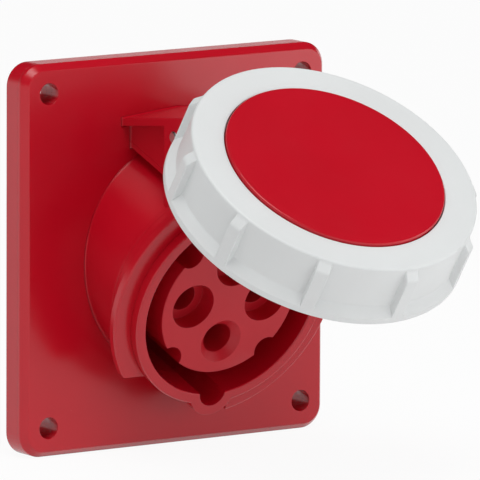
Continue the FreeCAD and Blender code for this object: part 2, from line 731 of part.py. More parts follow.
def contact(degrees, bore_r, wall, front_s):
    """A turned sleeve with slit fingers, a seating flange and a flat terminal tongue."""
    sleeve_r = bore_r + wall
    flange_r = sleeve_r + CONTACT_FLANGE_W
    flange_s = INSERT_REAR_S + CONTACT_FLANGE_T
    rear_s = front_s - SLEEVE_DEPTH
    body = turned([(0, INSERT_REAR_S, 0), (flange_r, INSERT_REAR_S, 0), (flange_r, flange_s, 0),
                   (SHANK_R, flange_s, 0), (SHANK_R, rear_s - SHANK_TAPER, 0), (sleeve_r, rear_s, 0),
                   (sleeve_r, front_s, FIT_PLAY), (0, front_s, 0)])
    floor_s = rear_s + MARGIN
    bore = turned([(0, floor_s, 0), (bore_r, floor_s, 0), (bore_r, front_s - SLEEVE_LEAD_IN, 0),
                   (bore_r + SLEEVE_LEAD_IN, front_s, 0), (bore_r + SLEEVE_LEAD_IN, front_s + MARGIN, 0),
                   (0, front_s + MARGIN, 0)])
    ring_top = front_s - SPRING_RING_BACK
    groove = tube(sleeve_r + MARGIN, sleeve_r - SPRING_RING_T - RING_GROOVE_PLAY,
                  ring_top - SPRING_RING_H - FIT_PLAY, ring_top + FIT_PLAY)
    across = sleeve_r + MARGIN
    slit = box((-across, -SLEEVE_SLIT / 2, front_s - SLIT_DEPTH),
               (across, SLEEVE_SLIT / 2, front_s + MARGIN))
    body = body.cut([bore, groove, slit])
    tongue = box((-TONGUE_T / 2, -TONGUE_W / 2, CAGE_LOW_S - TONGUE_OVERREACH),
                 (TONGUE_T / 2, TONGUE_W / 2, INSERT_REAR_S))
    body = body.fuse(tongue)
    body.translate(V(PITCH_R, 0, 0))
    return at_cell(body, degrees)


def spring_ring(degrees, bore_r, wall, front_s):
    """The open steel ring that presses the slit fingers together."""
    sleeve_r = bore_r + wall
    high = front_s - SPRING_RING_BACK
    low = high - SPRING_RING_H
    ring = tube(sleeve_r, sleeve_r - SPRING_RING_T, low, high)
    half = SPRING_RING_GAP / 2
    ring = ring.cut(box((-half, 0, low - MARGIN), (half, sleeve_r + MARGIN, high + MARGIN)))
    ring.translate(V(PITCH_R, 0, 0))
    return at_cell(ring, degrees)


def terminal_cage(degrees):
    """A square steel cage round the tongue, with a thicker side tapped for its screw."""
    half = CAGE_W / 2
    outer = box((CAGE_IN_R, -half, CAGE_LOW_S), (CAGE_OUT_R, half, CAGE_HIGH_S))
    inner = box((CAGE_IN_R + CAGE_WALL, -half + CAGE_WALL, CAGE_LOW_S - MARGIN),
                (CAGE_OUT_R - 1.5 * CAGE_WALL, half - CAGE_WALL, CAGE_HIGH_S + MARGIN))
    middle = V((CAGE_IN_R + CAGE_OUT_R) / 2, 0, CAGE_MID_S)
    tapped = Part.makeCylinder(TERMINAL_SCREW_R + FIT_PLAY, BASE_R, middle, V(1, 0, 0))
    return at_cell(outer.cut([inner, tapped]), degrees)


def terminal_screw(degrees):
    """A slotted clamping screw that enters its cage from the side."""
    foot = V(CAGE_OUT_R - TERMINAL_SCREW_IN, 0, CAGE_MID_S)
    end_r = CAGE_OUT_R + TERMINAL_SCREW_OUT
    shank = Part.makeCylinder(TERMINAL_SCREW_R, end_r - foot.x, foot, V(1, 0, 0))
    half = DRIVER_SLOT_W / 2
    slot = box((end_r - DRIVER_SLOT_DEPTH, -BASE_R, CAGE_MID_S - half),
               (end_r + MARGIN, BASE_R, CAGE_MID_S + half))
    return at_cell(shank.cut(slot), degrees)


def insert_screw(centre):
    """A cross recess pan head screw through both insert plates into the skirt's boss."""
    head_s = BASE_PLATE_S - INSERT_SCREW_HEAD_T
    tip_s = SEAT_S + INSERT_SCREW_GRIP
    round_r = INSERT_SCREW_HEAD_T * 0.4
    screw = turned([(0, head_s, 0), (INSERT_SCREW_HEAD_R, head_s, round_r),
                    (INSERT_SCREW_HEAD_R, BASE_PLATE_S, 0), (INSERT_SCREW_R, BASE_PLATE_S, 0),
                    (INSERT_SCREW_R, tip_s, INSERT_SCREW_R / 4), (0, tip_s, 0)])
    half = DRIVER_SLOT_W / 2
    for degrees in (0.0, 90.0):
        blade = box((-INSERT_SCREW_RECESS, -half, head_s - MARGIN),
                    (INSERT_SCREW_RECESS, half, head_s + DRIVER_SLOT_DEPTH))
        blade.rotate(V(0, 0, 0), V(0, 0, 1), degrees)
        screw = screw.cut(blade)
    screw.translate(centre)
    return screw


def lid_cover():
    """Disc, neck, flange, arm and hinge barrel, moulded in one and drawn closed."""
    lip_under_s = DISC_TOP_S - DISC_LIP_T
    floor_under_s = COVER_TOP_S - COVER_FLOOR_T
    collar_s = COVER_UNDER_S - COVER_COLLAR_H
    collar_out_r = GASKET_IN_R - GASKET_SEAT_PLAY
    collar_in_r = collar_out_r - COVER_COLLAR_T
    lip_s = COVER_UNDER_S - COVER_LIP_H
    body = turned([(0, floor_under_s, 0), (collar_in_r, floor_under_s, 0), (collar_in_r, collar_s, 0),
                   (collar_out_r, collar_s, COVER_COLLAR_T / 4), (collar_out_r, COVER_UNDER_S, 0),
                   (ARM_IN_R, COVER_UNDER_S, 0), (ARM_IN_R, lip_s, 0),
                   (COVER_R, lip_s, 0), (COVER_R, COVER_TOP_S, DISC_BEVEL),
                   (NECK_R, COVER_TOP_S, 0), (NECK_R, lip_under_s, 0), (DISC_R, lip_under_s, 0),
                   (DISC_R, DISC_TOP_S, DISC_BEVEL), (0, DISC_TOP_S, 0)])
    tail_s = HINGE_S - ARM_TAIL
    arm_out_r = ARM_IN_R + ARM_T
    arm_top_s = COVER_TOP_S - COVER_FLANGE_T / 4
    arm_ring = turned([(ARM_IN_R, tail_s, 0), (arm_out_r, tail_s, ARM_EDGE_R), (arm_out_r, arm_top_s, 0),
                       (ARM_IN_R, arm_top_s, 0)])
    arm = arm_ring.common(box((-ARM_W / 2, 0, tail_s - MARGIN), (ARM_W / 2, BEYOND, COVER_TOP_S)))
    barrel = along_x(BARREL_R, -ARM_W / 2, ARM_W / 2, HINGE_U, HINGE_S)
    web_top_s = HINGE_S + BARREL_R - WEB_DROP
    web = box((-ARM_W / 2, ARM_IN_R + ARM_EDGE_R, tail_s), (ARM_W / 2, HINGE_U, web_top_s))
    clear = cylinder(ARM_IN_R, tail_s - MARGIN, lip_s).cut(cylinder(GASKET_IN_R, tail_s - MARGIN, lip_s))
    bore = along_x(PIN_R + BARREL_PLAY, -ARM_W, ARM_W, HINGE_U, HINGE_S)
    return body.fuse([arm, barrel, web]).cut([clear, bore]).removeSplitter()


def lid_parts():
    """The lid is one moulding, parted here into its disc, its spigot and its hinge arm."""
    lid = lid_cover()
    spigot = lid.common(cylinder(GASKET_IN_R, -BEYOND, COVER_UNDER_S))
    below = beside(2, -BEYOND, COVER_UNDER_S - COVER_LIP_H)
    arm = lid.common(below).cut(cylinder(GASKET_IN_R, -BEYOND, BEYOND))
    return {"lid_cover": lid.cut([spigot, arm]), "lid_spigot": spigot, "lid_arm": arm}


def lid_gasket():
    return tube(GASKET_OUT_R, GASKET_IN_R, RIM_S + RIM_CLEAR, COVER_UNDER_S)


def ring_rib(degrees):
    """One grip rib with a sloped upper end, flush with the lip below."""
    top = RING_TOP_S - RING_RIB_TOP_DROP
    inner = RING_R - RING_WALL / 2
    loop = rounded_loop([(inner, RING_LIP_S, 0), (RING_LIP_R, RING_LIP_S, 0),
                         (RING_LIP_R, top - RING_RIB_SLOPE_H, 0), (RING_R, top, 0), (inner, top, 0)])
    face = Part.Face(loop)
    face.rotate(V(0, 0, 0), V(1, 0, 0), 90)
    face.translate(V(0, RING_RIB_W / 2, 0))
    rib = face.extrude(V(0, -RING_RIB_W, 0))
    rib.rotate(V(0, 0, 0), V(0, 0, 1), degrees)
    return rib


def bayonet_ring():
    """The gripping ring with its ribs outside and its two cams inside."""
    ledge_low = COVER_TOP_S + RING_PLAY
    ledge_high = DISC_TOP_S - DISC_LIP_T - RING_PLAY
    flare_low = RING_LIP_S + RING_LIP_H
    mouth_r = DISC_R + RING_PLAY
    throat_r = NECK_R + RING_PLAY
    ring = turned([(RING_INNER_R, RING_LIP_S, 0), (RING_LIP_R, RING_LIP_S, 0), (RING_LIP_R, flare_low, 0),
                   (RING_R, flare_low + RING_FLARE_H, 0), (RING_R, RING_TOP_S, RING_EDGE_R),
                   (mouth_r, RING_TOP_S, 0), (mouth_r, ledge_high, 0), (throat_r, ledge_high, 0),
                   (throat_r, ledge_low, 0), (RING_INNER_R, ledge_low, 0)])
    extras = [ring_rib(RING_RIB_PHASE_DEG + 360.0 * k / RING_RIBS) for k in range(RING_RIBS)]
    cam_high = RING_LIP_S + CAM_T
    middle = cylinder(CAM_IN_R, RING_LIP_S - MARGIN, cam_high + MARGIN)
    for middle_deg in (CAM_MID_DEG, CAM_MID_DEG - 180.0):
        cam = sector(RING_INNER_R + RING_WALL / 2, RING_LIP_S, cam_high, middle_deg - CAM_SPAN_DEG / 2,
                     middle_deg + CAM_SPAN_DEG / 2)
        extras.append(cam.cut(middle))
    ring = ring.fuse(extras)
    outside = tube(BEYOND, RING_LIP_R, RING_LIP_S - MARGIN, RING_TOP_S)
    return ring.cut(outside).removeSplitter()


def ring_parts():
    """The ring is one moulding, parted here into its face, half walls and its lip with the cams."""
    ring = bayonet_ring()
    face = beside(2, COVER_TOP_S + RING_PLAY, BEYOND)
    lip = beside(2, -BEYOND, RING_LIP_S + CAM_T)
    wall = ring.cut([face, lip])
    left = beside(0, -BEYOND, 0)
    return {"ring_face": ring.common(face), "ring_wall_left": wall.common(left),
            "ring_wall_right": wall.cut(left), "ring_lip": ring.common(lip)}


def hinge_pin():
    pin_y, pin_z = from_socket(HINGE_U, HINGE_S)
    reach = EAR_FACE_X + PIN_OVERHANG
    pin = along_x(PIN_R, -reach, reach, pin_y, pin_z)
    ends = [edge for edge in pin.Edges if edge.Curve.TypeId == "Part::GeomCircle"]
    return pin.makeChamfer(PIN_BEVEL, ends)


def rear_gasket():
    return gasket_band(GASKET_WIDTH, GASKET_DEPTH)


def all_parts():
    parts = housing_parts()
    parts["flange_gasket"] = rear_gasket()
    for name, shape in list(carrier_parts().items()) + list(base_parts().items()):
        parts[name] = in_socket_frame(shape)
    contacts = [(name, degrees, PHASE_PIN_BORE_R, SLEEVE_WALL, PHASE_FRONT_S) for name, degrees in PHASES]
    contacts.append(("earth", EARTH_DEG, EARTH_PIN_BORE_R, EARTH_SLEEVE_WALL, EARTH_FRONT_S))
    for name, degrees, bore_r, wall, front_s in contacts:
        parts["contact_" + name] = in_socket_frame(contact(degrees, bore_r, wall, front_s))
        parts["spring_ring_" + name] = in_socket_frame(spring_ring(degrees, bore_r, wall, front_s))
        parts["terminal_cage_" + name] = in_socket_frame(terminal_cage(degrees))
    parts["terminal_screws"] = Part.makeCompound([in_socket_frame(terminal_screw(c[1])) for c in contacts])
    parts["insert_screws"] = Part.makeCompound([in_socket_frame(insert_screw(c)) for c in screw_centres()])
    parts["hinge_pin"] = hinge_pin()
    parts["lid_gasket"] = swung_open(lid_gasket())
    for name, shape in list(lid_parts().items()) + list(ring_parts().items()):
        parts[name] = swung_open(shape)
    return parts


os.makedirs("parts", exist_ok=True)
for node, shape in all_parts().items():
    shape.exportStep("parts/" + node + ".step")
    print(node, "solids", len(shape.Solids), "valid", shape.isValid(), "volume", round(shape.Volume, 1))
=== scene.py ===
# %% [markdown]
# Industrial panel socket with its lid standing open.
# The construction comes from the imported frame: every solid is already in its place, in metres.
# This script gives each surface its finish, remakes the two pieces whose fine edges carry the look,
# the grip ring and the lid, and makes the front insulator's barrel one piece again.

# %% Load the frame
import bmesh
import bpy
import json
import math
import numpy as np
from mathutils import Matrix, Vector


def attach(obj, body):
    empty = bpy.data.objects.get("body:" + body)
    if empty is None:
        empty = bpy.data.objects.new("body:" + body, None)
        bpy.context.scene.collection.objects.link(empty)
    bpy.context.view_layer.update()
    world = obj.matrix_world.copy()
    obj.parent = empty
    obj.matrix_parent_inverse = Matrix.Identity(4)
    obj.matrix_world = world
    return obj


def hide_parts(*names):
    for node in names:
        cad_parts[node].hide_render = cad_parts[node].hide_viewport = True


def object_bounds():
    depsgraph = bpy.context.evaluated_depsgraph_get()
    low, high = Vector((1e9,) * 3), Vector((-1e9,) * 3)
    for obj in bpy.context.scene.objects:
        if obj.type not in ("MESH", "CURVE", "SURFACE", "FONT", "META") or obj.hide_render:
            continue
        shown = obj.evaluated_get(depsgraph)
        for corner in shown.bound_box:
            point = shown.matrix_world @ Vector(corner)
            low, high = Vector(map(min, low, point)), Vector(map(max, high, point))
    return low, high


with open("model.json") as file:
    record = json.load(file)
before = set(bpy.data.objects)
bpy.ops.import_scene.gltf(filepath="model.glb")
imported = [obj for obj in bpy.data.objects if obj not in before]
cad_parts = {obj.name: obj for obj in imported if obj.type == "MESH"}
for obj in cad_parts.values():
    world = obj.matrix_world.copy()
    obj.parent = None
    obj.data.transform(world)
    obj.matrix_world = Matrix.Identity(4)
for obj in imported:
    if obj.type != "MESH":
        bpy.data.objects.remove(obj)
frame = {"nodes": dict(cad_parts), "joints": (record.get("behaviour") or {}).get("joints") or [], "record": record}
cad_low, cad_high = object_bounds()
nodes = frame["nodes"]
joints = {joint["name"]: joint for joint in frame["joints"]}
mounts = {mount["name"]: mount for mount in frame["record"]["mounts"]}

# %% [markdown]
# Most of the pieces are round, and they share two axes: the socket's, which leans down out of the
# flange, and the lid's, which is the same axis swung open about the hinge.
# A small class holds such a set of axes, so a shape can be worked out in plain numbers,
# x across, u up across the axis and s along it, in millimetres, and then be put in its place.

# %% Axes of the socket and of the lid
MM = 0.001


class Axes:
    """Places points: origin + x * side + u * up + s * along, with lengths in millimetres."""

    def __init__(self, origin, side, up, along):
        self.origin = np.array(origin, float)
        self.frame = np.array([side, up, along], float) * MM

    def place(self, x, u, s):
        x, u, s = np.broadcast_arrays(x, u, s)
        return self.origin + np.stack([x, u, s], -1) @ self.frame


FLANGE_FRONT = 8.1
SOCKET_DROP = 1.8
HINGE_HEIGHT = 40.35
HINGE_REACH = 10.0
socket_along = np.array(mounts["earth_sleeve"]["axis"])
socket_up = np.cross(socket_along, [1.0, 0.0, 0.0])
socket = Axes((0.0, -FLANGE_FRONT * MM, -SOCKET_DROP * MM), (1, 0, 0), socket_up, socket_along)
lid_along = -np.array(joints["ring_turn"]["axis"])
lid_up = np.cross(lid_along, [1.0, 0.0, 0.0])
lid_origin = np.array(joints["ring_turn"]["pos_m"]) - lid_along * HINGE_REACH * MM
lid = Axes(lid_origin, (1, 0, 0), lid_up, lid_along)
print("socket leans", round(math.degrees(math.asin(-socket_along[2])), 1), "degrees")

# %% [markdown]
# A moulded or turned piece is its outline, so an outline tool comes first.
# Each corner of the outline has a radius, and the corner becomes the arc that touches both edges.
# These small arcs are what catches the light on real plastic, where no edge is quite sharp.

# %% Outlines with rounded corners
ARC_STEPS = 6
STRAIGHT = 1e-4


def corner_arc(before, here, after, radius, steps=ARC_STEPS):
    """The arc of this radius that touches both edges: its centre lies on their bisector,
    radius / sin(half the angle) from the corner, and it is drawn from touch to touch."""
    back = (before - here) / np.linalg.norm(before - here)
    on = (after - here) / np.linalg.norm(after - here)
    half = 0.5 * math.acos(float(np.clip(back @ on, -1, 1)))
    if radius <= 0 or half > 0.5 * math.pi - STRAIGHT:
        return here[None]
    middle = (back + on) / np.linalg.norm(back + on)
    centre = here + middle * radius / math.sin(half)
    start = here + back * radius / math.tan(half) - centre
    end = here + on * radius / math.tan(half) - centre
    turn = math.atan2(start[0] * end[1] - start[1] * end[0], start @ end)
    angle = np.linspace(0, turn, steps)[:, None]
    across = np.array([-start[1], start[0]])
    return centre + start * np.cos(angle) + across * np.sin(angle)


def outline(corners, closed=True, gap=None):
    """Joins corners (a, b, radius) into one line of points. Where a gap is given, no straight
    stretch is longer than it: the stretch is cut into equal parts."""
    points = np.array([corner[:2] for corner in corners], float)
    count = len(points)
    runs = []
    for i, corner in enumerate(corners):
        inside = closed or 0 < i < count - 1
        radius = corner[2] if inside else 0.0
        runs.append(corner_arc(points[i - 1], points[i], points[(i + 1) % count], radius))
    line = np.concatenate(runs)
    if gap is None:
        return line
    ends = np.roll(line, -1, 0) if closed else line[1:]
    starts = line if closed else line[:-1]
    parts = np.maximum(1, np.ceil(np.linalg.norm(ends - starts, axis=1) / gap)).astype(int)
    cut = [a + (b - a) * np.arange(n)[:, None] / n for a, b, n in zip(starts, ends, parts)]
    return np.concatenate(cut + ([] if closed else [line[-1:]]))


print("a rounded square has", len(outline([(0, 0, 1), (4, 0, 1), (4, 4, 1), (0, 4, 1)])), "points")

# %% [markdown]
# An outline becomes a surface when it is carried round an axis or along a line.
# The result is a grid of points, and a mesh is that grid with a quad between each four neighbours.
# Where a column of points falls onto the axis it is one pole, so doubles are merged and the
# faces are turned outwards once, at the end.

# %% Grids of points into meshes
SHARP_ANGLE = math.radians(38)
SAME_POINT = 2e-7
NO_LENGTH = 1e-7


def turn_round(line, axes, angles=None, turns=192):
    """Carries an outline (r, s) round the axis: x = r cos a, u = r sin a, s = s."""
    if angles is None:
        angles = np.linspace(0, 2 * math.pi, turns, endpoint=False)
    r, s = line[:, 0], line[:, 1]
    return axes.place(np.cos(angles)[:, None] * r, np.sin(angles)[:, None] * r, s)


def grid_faces(rows, columns, wrap_rows, wrap_columns):
    """Quads between neighbours of a rows by columns grid, as an array of four indices each."""
    i = np.arange(rows if wrap_rows else rows - 1)[:, None]
    j = np.arange(columns if wrap_columns else columns - 1)[None]
    i_next, j_next = (i + 1) % rows, (j + 1) % columns
    quads = [i * columns + j, i_next * columns + j, i_next * columns + j_next, i * columns + j_next]
    return np.stack([np.broadcast_to(q, (i.size, j.size)).ravel() for q in quads], -1)


def shell(points, wrap_rows=True, wrap_columns=True, caps=False):
    """One closed skin: its points, its quads and, where asked, a cap on the first and last row."""
    rows, columns = points.shape[:2]
    faces = grid_faces(rows, columns, wrap_rows, wrap_columns).tolist()
    if caps:
        faces.append(list(range(columns)))
        faces.append(list(range((rows - 1) * columns, rows * columns))[::-1])
    return points.reshape(-1, 3), faces


def finished(mesh, body, material, stands_for, sharp):
    """Shades a mesh smooth up to the sharp angle and makes it an object, then says which body it
    rides on, which finish it has and which nodes it stands for."""
    mesh.polygons.foreach_set("use_smooth", np.ones(len(mesh.polygons), bool))
    mesh.set_sharp_from_angle(angle=sharp)
    mesh.materials.append(material)
    made = bpy.data.objects.new(mesh.name, mesh)
    bpy.context.scene.collection.objects.link(made)
    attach(made, body)
    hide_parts(*stands_for)
    print(mesh.name, len(mesh.polygons), "faces")
    return made


def piece(name, shells, body, material, stands_for, sharp=SHARP_ANGLE):
    """Makes one object of its skins, merges doubles and turns the faces outwards."""
    starts = np.cumsum([0] + [len(points) for points, faces in shells])
    points = np.concatenate([points for points, faces in shells])
    faces = [[v + int(start) for v in face] for start, (_, made) in zip(starts, shells) for face in made]
    mesh = bpy.data.meshes.new(name)
    mesh.from_pydata(points.tolist(), [], faces)
    work = bmesh.new()
    work.from_mesh(mesh)
    bmesh.ops.remove_doubles(work, verts=work.verts, dist=SAME_POINT)
    bmesh.ops.dissolve_degenerate(work, edges=work.edges, dist=NO_LENGTH)
    bmesh.ops.recalc_face_normals(work, faces=work.faces)
    work.to_mesh(mesh)
    work.free()
    return finished(mesh, body, material, stands_for, sharp)


# %% [markdown]
# Materials are built from nodes, and the maths between the nodes reads best as Python.
# A small class wraps a socket: adding or multiplying two wrapped sockets adds the Math node.
# Every other node comes from one method, which sets the node's settings and then its inputs.

# %% Shader maths as expressions


class Shade:
    """An output socket of a node tree, or the tree itself, with operators for its values."""

    def __init__(self, tree, socket=None):
        self.tree = tree
        self.socket = socket

    def node(self, kind, settings=None, stops=None, output=0, **inputs):
        made = self.tree.nodes.new(kind)
        for name, value in (settings or {}).items():
            setattr(made, name, value)
        if stops:
            ramp = made.color_ramp
            while len(ramp.elements) < len(stops):
                ramp.elements.new(1.0)
            for element, (place, colour) in zip(ramp.elements, stops):
                element.position = place
                element.color = colour
        for name, value in inputs.items():
            key = int(name[1:]) if name[0] == "_" and name[1:].isdigit() else name.replace("_", " ")
            target = made.inputs[key]
            if isinstance(value, Shade):
                self.tree.links.new(value.socket, target)
            else:
                target.default_value = value
        return Shade(self.tree, made.outputs[output])

    def math(self, operation, *values, clamp=False):
        inputs = {f"_{i}": value for i, value in enumerate(values)}
        return self.node("ShaderNodeMath", {"operation": operation, "use_clamp": clamp}, **inputs)

    def __add__(self, other):
        return self.math("ADD", self, other)

    def __sub__(self, other):
        return self.math("SUBTRACT", self, other)

    def __rsub__(self, other):
        return self.math("SUBTRACT", other, self)

    def __mul__(self, other):
        return self.math("MULTIPLY", self, other)

    __radd__ = __add__
    __rmul__ = __mul__

    def between(self, low, high):
        """0 below low, 1 above high and a straight slope between, held to that span."""
        return self.node("ShaderNodeMapRange", {"clamp": True}, Value=self, From_Min=low, From_Max=high)

    def mix(self, a, b):
        """Colour a where this is 0 and b where it is 1."""
        settings = {"data_type": "RGBA", "clamp_factor": True}
        return self.node("ShaderNodeMix", settings, output=2, _0=self, _6=a, _7=b)


def noise(shade, where, scale, detail=2.0, roughness=0.5):
    """Noise from 0 to 1; scale is in waves per metre."""
    return shade.node("ShaderNodeTexNoise", {"noise_dimensions": "3D"}, Vector=where, Scale=scale,
                      Detail=detail, Roughness=roughness)


def new_material(name):
    """An empty material with a Principled shader on its output; gives the material, the shader
    node, a Shade on the tree and the object coordinates."""
    made = bpy.data.materials.new(name)
    made.use_nodes = True
    tree = made.node_tree
    tree.nodes.clear()
    out = tree.nodes.new("ShaderNodeOutputMaterial")
    principled = tree.nodes.new("ShaderNodeBsdfPrincipled")
    tree.links.new(principled.outputs[0], out.inputs[0])
    shade = Shade(tree)
    where = shade.node("ShaderNodeTexCoord", output=3)
    return made, principled, shade, where


def feed(principled, name, value):
    """Links a Shade to an input of the shader, or sets a constant on it."""
    if isinstance(value, Shade):
        value.tree.links.new(value.socket, principled.inputs[name])
    else:
        principled.inputs[name].default_value = value


# %% [markdown]
# Both red and grey pieces are injection moulded. Such plastic isn't one flat colour: the pigment
# drifts a little, the gloss changes where the melt met the mould, and a faint orange peel runs
# over it. Edges have a small radius from the mould, and a Bevel node rounds the shading there.

# %% Moulded plastic
MICRON = 1e-6


def moulded_plastic(name, deep, light, rough, peel, edge_mm, gloss=0.5):
    """Pigment drifts between a deep and a light tone in soft clouds 30 mm wide with faint flecks.
    Roughness drifts in smaller clouds, peel is the height of the fine texture in micrometres and
    gloss is the strength of the mirror light at right angles."""
    made, principled, shade, where = new_material(name)
    clouds = noise(shade, where, 33.0, 3.0)
    flecks = noise(shade, where, 2400.0, 2.0)
    drift = clouds.between(0.3, 0.7) * 0.75 + flecks * 0.25
    feed(principled, "Base Color", drift.mix(deep, light))
    handled = noise(shade, where, 90.0, 4.0, 0.6).between(0.25, 0.8)
    feed(principled, "Roughness", handled * 0.07 + flecks * 0.03 + (rough - 0.05))
    feed(principled, "Specular IOR Level", gloss)
    rounded = shade.node("ShaderNodeBevel", {"samples": 6}, Radius=edge_mm * MM)
    grain = noise(shade, where, 3800.0, 3.0, 0.6)
    bumped = shade.node("ShaderNodeBump", Strength=0.35, Distance=peel * MICRON, Height=grain,
                        Normal=rounded)
    feed(principled, "Normal", bumped)
    return made


RED_DEEP = (0.50, 0.0024, 0.0125, 1)
RED_LIGHT = (0.55, 0.0034, 0.016, 1)
GREY_DEEP = (0.72, 0.735, 0.735, 1)
GREY_LIGHT = (0.76, 0.78, 0.78, 1)
BASE_DEEP = (0.045, 0.047, 0.05, 1)
BASE_LIGHT = (0.06, 0.062, 0.066, 1)
red_plastic = moulded_plastic("red_plastic", RED_DEEP, RED_LIGHT, 0.24, 9.0, 0.3, 0.5)
insert_plastic = moulded_plastic("insert_red_plastic", RED_DEEP, RED_LIGHT, 0.42, 22.0, 0.2, 0.5)
grey_plastic = moulded_plastic("ring_grey_plastic", GREY_DEEP, GREY_LIGHT, 0.45, 14.0, 0.15)
base_plastic = moulded_plastic("base_grey_plastic", BASE_DEEP, BASE_LIGHT, 0.48, 30.0, 0.2)
print("plastics", red_plastic.name, insert_plastic.name, grey_plastic.name, base_plastic.name)

# %% [markdown]
# The metal parts are small: turned brass contacts, zinc plated clamps and screws, a drawn pin.
# Turned and drawn metal keeps fine lines that run one way, so the noise is squeezed along the
# other directions. Rubber seals are nearly black, dull and a little dusty.

# %% Metal and rubber


def worked_metal(name, deep, light, rough, stretch, scale=900.0):
    """Metal with lines: noise is read at coordinates multiplied by stretch, so it is long where
    stretch is small. The lines move roughness, tone and height together."""
    made, principled, shade, where = new_material(name)
    squeezed = shade.node("ShaderNodeVectorMath", {"operation": "MULTIPLY"}, _0=where, _1=stretch)
    lines = noise(shade, squeezed, scale, 4.0, 0.65)
    stain = noise(shade, where, 140.0, 3.0).between(0.35, 0.75)
    feed(principled, "Base Color", (lines * 0.5 + stain * 0.5).mix(light, deep))
    feed(principled, "Metallic", 1.0)
    feed(principled, "Roughness", lines * 0.14 + stain * 0.08 + (rough - 0.1))
    rounded = shade.node("ShaderNodeBevel", {"samples": 4}, Radius=0.12 * MM)
    bumped = shade.node("ShaderNodeBump", Strength=0.4, Distance=12 * MICRON, Height=lines, Normal=rounded)
    feed(principled, "Normal", bumped)
    return made


def moulded_rubber(name):
    """Dull black rubber: a fine grain in height and roughness and a pale bloom in patches."""
    made, principled, shade, where = new_material(name)
    bloom = noise(shade, where, 60.0, 4.0, 0.6).between(0.45, 0.85)
    grain = noise(shade, where, 5200.0, 2.0)
    feed(principled, "Base Color", (bloom * 0.6).mix((0.012, 0.012, 0.013, 1), (0.04, 0.04, 0.042, 1)))
    feed(principled, "Roughness", grain * 0.12 + bloom * 0.08 + 0.58)
    bumped = shade.node("ShaderNodeBump", Strength=0.5, Distance=20 * MICRON, Height=grain)
    feed(principled, "Normal", bumped)
    return made


EVEN = (1, 1, 1)
BRASS_DEEP = (0.50, 0.33, 0.11, 1)
BRASS_LIGHT = (0.72, 0.52, 0.22, 1)
SPRING_DEEP = (0.42, 0.43, 0.44, 1)
SPRING_LIGHT = (0.6, 0.61, 0.62, 1)
CLAMP_DEEP = (0.46, 0.47, 0.45, 1)
CLAMP_LIGHT = (0.63, 0.64, 0.61, 1)
SCREW_DEEP = (0.48, 0.48, 0.45, 1)
SCREW_LIGHT = (0.66, 0.66, 0.62, 1)
PIN_DEEP = (0.55, 0.57, 0.56, 1)
PIN_LIGHT = (0.74, 0.76, 0.75, 1)
brass = worked_metal("contact_metal", BRASS_DEEP, BRASS_LIGHT, 0.28, (0.2, 1, 1))
spring_steel = worked_metal("spring_steel", SPRING_DEEP, SPRING_LIGHT, 0.25, (0.3, 1, 1))
zinc = worked_metal("clamp_steel", CLAMP_DEEP, CLAMP_LIGHT, 0.36, EVEN, 500.0)
screw_zinc = worked_metal("screw_steel", SCREW_DEEP, SCREW_LIGHT, 0.32, EVEN, 700.0)
pin_steel = worked_metal("pin_steel", PIN_DEEP, PIN_LIGHT, 0.3, (0.05, 1, 1))
rubber = moulded_rubber("seal_rubber")

FINISHES = {
    "red_plastic": red_plastic, "insert_red_plastic": insert_plastic, "ring_grey_plastic": grey_plastic,
    "base_grey_plastic": base_plastic, "seal_rubber": rubber, "contact_metal": brass,
    "spring_steel": spring_steel, "clamp_steel": zinc, "screw_steel": screw_zinc, "pin_steel": pin_steel,
}
slot_of = {part["node"]: part["material_slot"] for part in frame["record"]["subparts"]}
for name, solid in nodes.items():
    solid.data.materials.clear()
    solid.data.materials.append(FINISHES[slot_of[name]])
print("finished", len(nodes), "solids with", len(FINISHES), "materials")

# %% [markdown]
# The front insulator is one moulding with a hole for each contact, but its barrel comes from the
# frame in four quarters. A copy of the quarters is made whole again: their flat side walls, which
# only exist where two quarters touch, are taken out and the points along the seams are merged.
# Then no line crosses the face, and the Bevel node sees the edges that the real piece has.

# %% The insulator's barrel, whole again
CONTACTS = ["l1", "l2", "l3", "earth"]
ON_PLANE = 2e-3
SEAM_GAP = 3e-6
BARREL_SHARP = math.radians(25)


def on_seam(corners):
    """True where every corner (x, u) lies on one of the two planes x = u and x = -u."""
    across = (corners - socket.origin) @ (socket.frame[:2] / MM).T / MM
    return any(np.all(np.abs(across[:, 0] - side * across[:, 1]) < ON_PLANE) for side in (1, -1))


def insulator_barrel(names):
    work = bmesh.new()
    for name in names:
        work.from_mesh(nodes[name].data)
    seams = [face for face in work.faces if on_seam(np.array([corner.co[:] for corner in face.verts]))]
    bmesh.ops.delete(work, geom=seams, context="FACES")
    bmesh.ops.remove_doubles(work, verts=work.verts, dist=SEAM_GAP)
    work.verts.index_update()
    points = [corner.co[:] for corner in work.verts]
    faces = [[corner.index for corner in face.verts] for face in work.faces]
    open_edges = sum(len(edge.link_faces) != 2 for edge in work.edges)
    work.free()
    mesh = bpy.data.meshes.new("insulator_barrel")
    mesh.from_pydata(points, [], faces)
    print("left out", len(seams), "seam faces, open edges", open_edges)
    return finished(mesh, "root", insert_plastic, names, BARREL_SHARP)


insulator_barrel(["carrier_" + name for name in CONTACTS])

# %% [markdown]
# The grip ring is the palest and largest piece in the picture, so it gets its own surface.
# Its outline runs round the lid's axis: inner wall, lower lip, flare, outer wall and top face.
# Ten ribs stand on the outer wall, and two cams stand inside, so the radius changes with the
# angle as well: at a rib the outer wall steps out to the lip, with a small blend at its foot.

